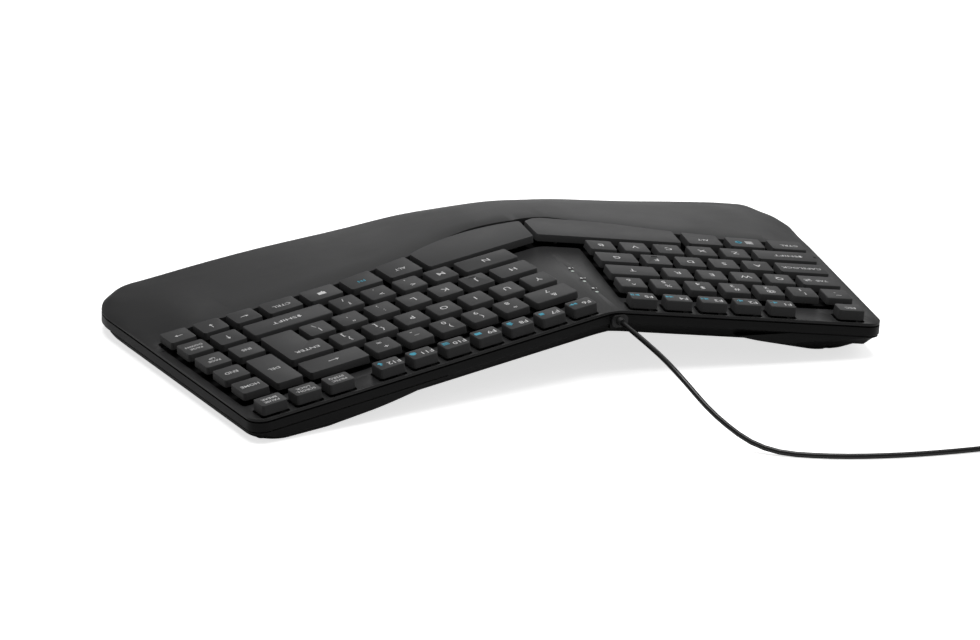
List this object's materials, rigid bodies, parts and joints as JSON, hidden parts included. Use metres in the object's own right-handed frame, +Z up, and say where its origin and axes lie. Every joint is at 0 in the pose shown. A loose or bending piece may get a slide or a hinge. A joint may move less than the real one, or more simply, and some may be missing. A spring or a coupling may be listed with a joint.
{
  "type": "ergonomic keyboard",
  "caption": "Tented, splayed one-piece keyboard with separate sliding key tops, a split space bar, a moulded palm rest, indicator lights and a USB lead put away in a coil.",
  "frame": {"origin": "middle of the keyboard's bounding box in plan, on the desk that its rubber feet stand on; the lead outside the case is left out of the box", "axes": "+X to the user's right, +Y away from the user, +Z up"},
  "size_m": [0.5118, 0.3437, 0.0437],
  "materials": {
    "cover_plastic": "fine matt texture, dark grey",
    "key_plastic": "fine matt, a little lighter than the cover",
    "black_plastic": "matt black",
    "silicone": "translucent grey silicone",
    "film": "clear printed film",
    "sheet_steel": "plain rolled",
    "board": "solder mask",
    "light": "clear resin",
    "lens": "smoked",
    "screw_steel": "zinc plated",
    "spring_steel": "drawn wire",
    "foot_rubber": "matt",
    "lead_rubber": "smooth matt",
    "plug_plastic": "fine matt",
    "plug_shell": "nickel plated"
  },
  "bodies": {
    "base": {"top_cover": "cover_plastic", "bottom_case": "black_plastic", "left_key_frame": "black_plastic", "right_key_frame": "black_plastic", "left_dome_sheet": "silicone", "right_dome_sheet": "silicone", "membrane": "film", "backplate": "sheet_steel", "controller_board": "board", "indicator_lights": "light", "indicator_lenses": "lens", "case_screws": "screw_steel", "rubber_feet": "foot_rubber", "cable_gland": "lead_rubber", "usb_cable": "lead_rubber", "cable_coil": "lead_rubber", "cable_tie": "lead_rubber", "usb_plug_body": "plug_plastic", "usb_plug_shell": "plug_shell"},
    "function_keys_left_body": {"function_keys_left": "key_plastic"},
    "number_keys_left_body": {"number_keys_left": "key_plastic"},
    "upper_row_left_body": {"upper_row_left": "key_plastic"},
    "home_row_left_body": {"home_row_left": "key_plastic"},
    "lower_row_left_body": {"lower_row_left": "key_plastic"},
    "esc_body": {"esc": "key_plastic"},
    "tab_body": {"tab": "key_plastic"},
    "caps_lock_body": {"caps_lock": "key_plastic"},
    "left_shift_body": {"left_shift": "key_plastic"},
    "left_ctrl_body": {"left_ctrl": "key_plastic"},
    "left_menu_body": {"left_menu": "key_plastic"},
    "left_alt_body": {"left_alt": "key_plastic"},
    "space_left_body": {"space_left": "key_plastic", "space_left_stabiliser": "spring_steel"},
    "function_keys_right_body": {"function_keys_right": "key_plastic"},
    "number_keys_right_body": {"number_keys_right": "key_plastic"},
    "upper_row_right_body": {"upper_row_right": "key_plastic"},
    "home_row_right_body": {"home_row_right": "key_plastic"},
    "lower_row_right_body": {"lower_row_right": "key_plastic"},
    "space_right_body": {"space_right": "key_plastic", "space_right_stabiliser": "spring_steel"},
    "right_alt_body": {"right_alt": "key_plastic"},
    "fn_body": {"fn": "key_plastic"},
    "assistant_key_body": {"assistant_key": "key_plastic"},
    "right_ctrl_body": {"right_ctrl": "key_plastic"},
    "right_shift_body": {"right_shift": "key_plastic"},
    "enter_body": {"enter": "key_plastic"},
    "backspace_body": {"backspace": "key_plastic"},
    "insert_body": {"insert": "key_plastic"},
    "delete_body": {"delete": "key_plastic"},
    "home_body": {"home": "key_plastic"},
    "end_body": {"end": "key_plastic"},
    "page_up_body": {"page_up": "key_plastic"},
    "page_down_body": {"page_down": "key_plastic"},
    "arrow_up_body": {"arrow_up": "key_plastic"},
    "arrow_left_body": {"arrow_left": "key_plastic"},
    "arrow_down_body": {"arrow_down": "key_plastic"},
    "arrow_right_body": {"arrow_right": "key_plastic"},
    "print_screen_body": {"print_screen": "key_plastic"},
    "scroll_lock_body": {"scroll_lock": "key_plastic"},
    "pause_body": {"pause": "key_plastic"}
  },
  "joints": [
    {"name": "function_keys_left_press", "type": "slide", "parent": "base", "child": "function_keys_left_body", "axis": [0.109, -0.0171, -0.9939], "range_m": [0, 0.002], "stiffness_N_per_m": 1000, "springref_m": -0.001, "deforming": ["left_dome_sheet"]},
    {"name": "number_keys_left_press", "type": "slide", "parent": "base", "child": "number_keys_left_body", "axis": [0.109, -0.0171, -0.9939], "range_m": [0, 0.002], "stiffness_N_per_m": 1400, "springref_m": -0.001, "deforming": ["left_dome_sheet"]},
    {"name": "upper_row_left_press", "type": "slide", "parent": "base", "child": "upper_row_left_body", "axis": [0.109, -0.0171, -0.9939], "range_m": [0, 0.002], "stiffness_N_per_m": 1000, "springref_m": -0.001, "deforming": ["left_dome_sheet"]},
    {"name": "home_row_left_press", "type": "slide", "parent": "base", "child": "home_row_left_body", "axis": [0.109, -0.0171, -0.9939], "range_m": [0, 0.002], "stiffness_N_per_m": 1000, "springref_m": -0.001, "deforming": ["left_dome_sheet"]},
    {"name": "lower_row_left_press", "type": "slide", "parent": "base", "child": "lower_row_left_body", "axis": [0.109, -0.0171, -0.9939], "range_m": [0, 0.002], "stiffness_N_per_m": 1000, "springref_m": -0.001, "deforming": ["left_dome_sheet"]},
    {"name": "esc_press", "type": "slide", "parent": "base", "child": "esc_body", "axis": [0.109, -0.0171, -0.9939], "range_m": [0, 0.002], "stiffness_N_per_m": 200, "springref_m": -0.001, "deforming": ["left_dome_sheet"]},
    {"name": "tab_press", "type": "slide", "parent": "base", "child": "tab_body", "axis": [0.109, -0.0171, -0.9939], "range_m": [0, 0.002], "stiffness_N_per_m": 200, "springref_m": -0.001, "deforming": ["left_dome_sheet"]},
    {"name": "caps_lock_press", "type": "slide", "parent": "base", "child": "caps_lock_body", "axis": [0.109, -0.0171, -0.9939], "range_m": [0, 0.002], "stiffness_N_per_m": 200, "springref_m": -0.001, "deforming": ["left_dome_sheet"]},
    {"name": "left_shift_press", "type": "slide", "parent": "base", "child": "left_shift_body", "axis": [0.109, -0.0171, -0.9939], "range_m": [0, 0.002], "stiffness_N_per_m": 200, "springref_m": -0.001, "deforming": ["left_dome_sheet"]},
    {"name": "left_ctrl_press", "type": "slide", "parent": "base", "child": "left_ctrl_body", "axis": [0.109, -0.0171, -0.9939], "range_m": [0, 0.002], "stiffness_N_per_m": 200, "springref_m": -0.001, "deforming": ["left_dome_sheet"]},
    {"name": "left_menu_press", "type": "slide", "parent": "base", "child": "left_menu_body", "axis": [0.109, -0.0171, -0.9939], "range_m": [0, 0.002], "stiffness_N_per_m": 200, "springref_m": -0.001, "deforming": ["left_dome_sheet"]},
    {"name": "left_alt_press", "type": "slide", "parent": "base", "child": "left_alt_body", "axis": [0.109, -0.0171, -0.9939], "range_m": [0, 0.002], "stiffness_N_per_m": 200, "springref_m": -0.001, "deforming": ["left_dome_sheet"]},
    {"name": "space_left_press", "type": "slide", "parent": "base", "child": "space_left_body", "axis": [0.109, -0.0171, -0.9939], "range_m": [0, 0.002], "stiffness_N_per_m": 200, "springref_m": -0.001, "deforming": ["left_dome_sheet"]},
    {"name": "function_keys_right_press", "type": "slide", "parent": "base", "child": "function_keys_right_body", "axis": [-0.109, -0.0171, -0.9939], "range_m": [0, 0.002], "stiffness_N_per_m": 1400, "springref_m": -0.001, "deforming": ["right_dome_sheet"]},
    {"name": "number_keys_right_press", "type": "slide", "parent": "base", "child": "number_keys_right_body", "axis": [-0.109, -0.0171, -0.9939], "range_m": [0, 0.002], "stiffness_N_per_m": 1200, "springref_m": -0.001, "deforming": ["right_dome_sheet"]},
    {"name": "upper_row_right_press", "type": "slide", "parent": "base", "child": "upper_row_right_body", "axis": [-0.109, -0.0171, -0.9939], "range_m": [0, 0.002], "stiffness_N_per_m": 1400, "springref_m": -0.001, "deforming": ["right_dome_sheet"]},
    {"name": "home_row_right_press", "type": "slide", "parent": "base", "child": "home_row_right_body", "axis": [-0.109, -0.0171, -0.9939], "range_m": [0, 0.002], "stiffness_N_per_m": 1400, "springref_m": -0.001, "deforming": ["right_dome_sheet"]},
    {"name": "lower_row_right_press", "type": "slide", "parent": "base", "child": "lower_row_right_body", "axis": [-0.109, -0.0171, -0.9939], "range_m": [0, 0.002], "stiffness_N_per_m": 1000, "springref_m": -0.001, "deforming": ["right_dome_sheet"]},
    {"name": "space_right_press", "type": "slide", "parent": "base", "child": "space_right_body", "axis": [-0.109, -0.0171, -0.9939], "range_m": [0, 0.002], "stiffness_N_per_m": 200, "springref_m": -0.001, "deforming": ["right_dome_sheet"]},
    {"name": "right_alt_press", "type": "slide", "parent": "base", "child": "right_alt_body", "axis": [-0.109, -0.0171, -0.9939], "range_m": [0, 0.002], "stiffness_N_per_m": 200, "springref_m": -0.001, "deforming": ["right_dome_sheet"]},
    {"name": "fn_press", "type": "slide", "parent": "base", "child": "fn_body", "axis": [-0.109, -0.0171, -0.9939], "range_m": [0, 0.002], "stiffness_N_per_m": 200, "springref_m": -0.001, "deforming": ["right_dome_sheet"]},
    {"name": "assistant_key_press", "type": "slide", "parent": "base", "child": "assistant_key_body", "axis": [-0.109, -0.0171, -0.9939], "range_m": [0, 0.002], "stiffness_N_per_m": 200, "springref_m": -0.001, "deforming": ["right_dome_sheet"]},
    {"name": "right_ctrl_press", "type": "slide", "parent": "base", "child": "right_ctrl_body", "axis": [-0.109, -0.0171, -0.9939], "range_m": [0, 0.002], "stiffness_N_per_m": 200, "springref_m": -0.001, "deforming": ["right_dome_sheet"]},
    {"name": "right_shift_press", "type": "slide", "parent": "base", "child": "right_shift_body", "axis": [-0.109, -0.0171, -0.9939], "range_m": [0, 0.002], "stiffness_N_per_m": 200, "springref_m": -0.001, "deforming": ["right_dome_sheet"]},
    {"name": "enter_press", "type": "slide", "parent": "base", "child": "enter_body", "axis": [-0.109, -0.0171, -0.9939], "range_m": [0, 0.002], "stiffness_N_per_m": 200, "springref_m": -0.001, "deforming": ["right_dome_sheet"]},
    {"name": "backspace_press", "type": "slide", "parent": "base", "child": "backspace_body", "axis": [-0.109, -0.0171, -0.9939], "range_m": [0, 0.002], "stiffness_N_per_m": 200, "springref_m": -0.001, "deforming": ["right_dome_sheet"]},
    {"name": "insert_press", "type": "slide", "parent": "base", "child": "insert_body", "axis": [-0.109, -0.0171, -0.9939], "range_m": [0, 0.002], "stiffness_N_per_m": 200, "springref_m": -0.001, "deforming": ["right_dome_sheet"]},
    {"name": "delete_press", "type": "slide", "parent": "base", "child": "delete_body", "axis": [-0.109, -0.0171, -0.9939], "range_m": [0, 0.002], "stiffness_N_per_m": 200, "springref_m": -0.001, "deforming": ["right_dome_sheet"]},
    {"name": "home_press", "type": "slide", "parent": "base", "child": "home_body", "axis": [-0.109, -0.0171, -0.9939], "range_m": [0, 0.002], "stiffness_N_per_m": 200, "springref_m": -0.001, "deforming": ["right_dome_sheet"]},
    {"name": "end_press", "type": "slide", "parent": "base", "child": "end_body", "axis": [-0.109, -0.0171, -0.9939], "range_m": [0, 0.002], "stiffness_N_per_m": 200, "springref_m": -0.001, "deforming": ["right_dome_sheet"]},
    {"name": "page_up_press", "type": "slide", "parent": "base", "child": "page_up_body", "axis": [-0.109, -0.0171, -0.9939], "range_m": [0, 0.002], "stiffness_N_per_m": 200, "springref_m": -0.001, "deforming": ["right_dome_sheet"]},
    {"name": "page_down_press", "type": "slide", "parent": "base", "child": "page_down_body", "axis": [-0.109, -0.0171, -0.9939], "range_m": [0, 0.002], "stiffness_N_per_m": 200, "springref_m": -0.001, "deforming": ["right_dome_sheet"]},
    {"name": "arrow_up_press", "type": "slide", "parent": "base", "child": "arrow_up_body", "axis": [-0.109, -0.0171, -0.9939], "range_m": [0, 0.002], "stiffness_N_per_m": 200, "springref_m": -0.001, "deforming": ["right_dome_sheet"]},
    {"name": "arrow_left_press", "type": "slide", "parent": "base", "child": "arrow_left_body", "axis": [-0.109, -0.0171, -0.9939], "range_m": [0, 0.002], "stiffness_N_per_m": 200, "springref_m": -0.001, "deforming": ["right_dome_sheet"]},
    {"name": "arrow_down_press", "type": "slide", "parent": "base", "child": "arrow_down_body", "axis": [-0.109, -0.0171, -0.9939], "range_m": [0, 0.002], "stiffness_N_per_m": 200, "springref_m": -0.001, "deforming": ["right_dome_sheet"]},
    {"name": "arrow_right_press", "type": "slide", "parent": "base", "child": "arrow_right_body", "axis": [-0.109, -0.0171, -0.9939], "range_m": [0, 0.002], "stiffness_N_per_m": 200, "springref_m": -0.001, "deforming": ["right_dome_sheet"]},
    {"name": "print_screen_press", "type": "slide", "parent": "base", "child": "print_screen_body", "axis": [-0.109, -0.0171, -0.9939], "range_m": [0, 0.002], "stiffness_N_per_m": 200, "springref_m": -0.001, "deforming": ["right_dome_sheet"]},
    {"name": "scroll_lock_press", "type": "slide", "parent": "base", "child": "scroll_lock_body", "axis": [-0.109, -0.0171, -0.9939], "range_m": [0, 0.002], "stiffness_N_per_m": 200, "springref_m": -0.001, "deforming": ["right_dome_sheet"]},
    {"name": "pause_press", "type": "slide", "parent": "base", "child": "pause_body", "axis": [-0.109, -0.0171, -0.9939], "range_m": [0, 0.002], "stiffness_N_per_m": 200, "springref_m": -0.001, "deforming": ["right_dome_sheet"]}
  ]
}
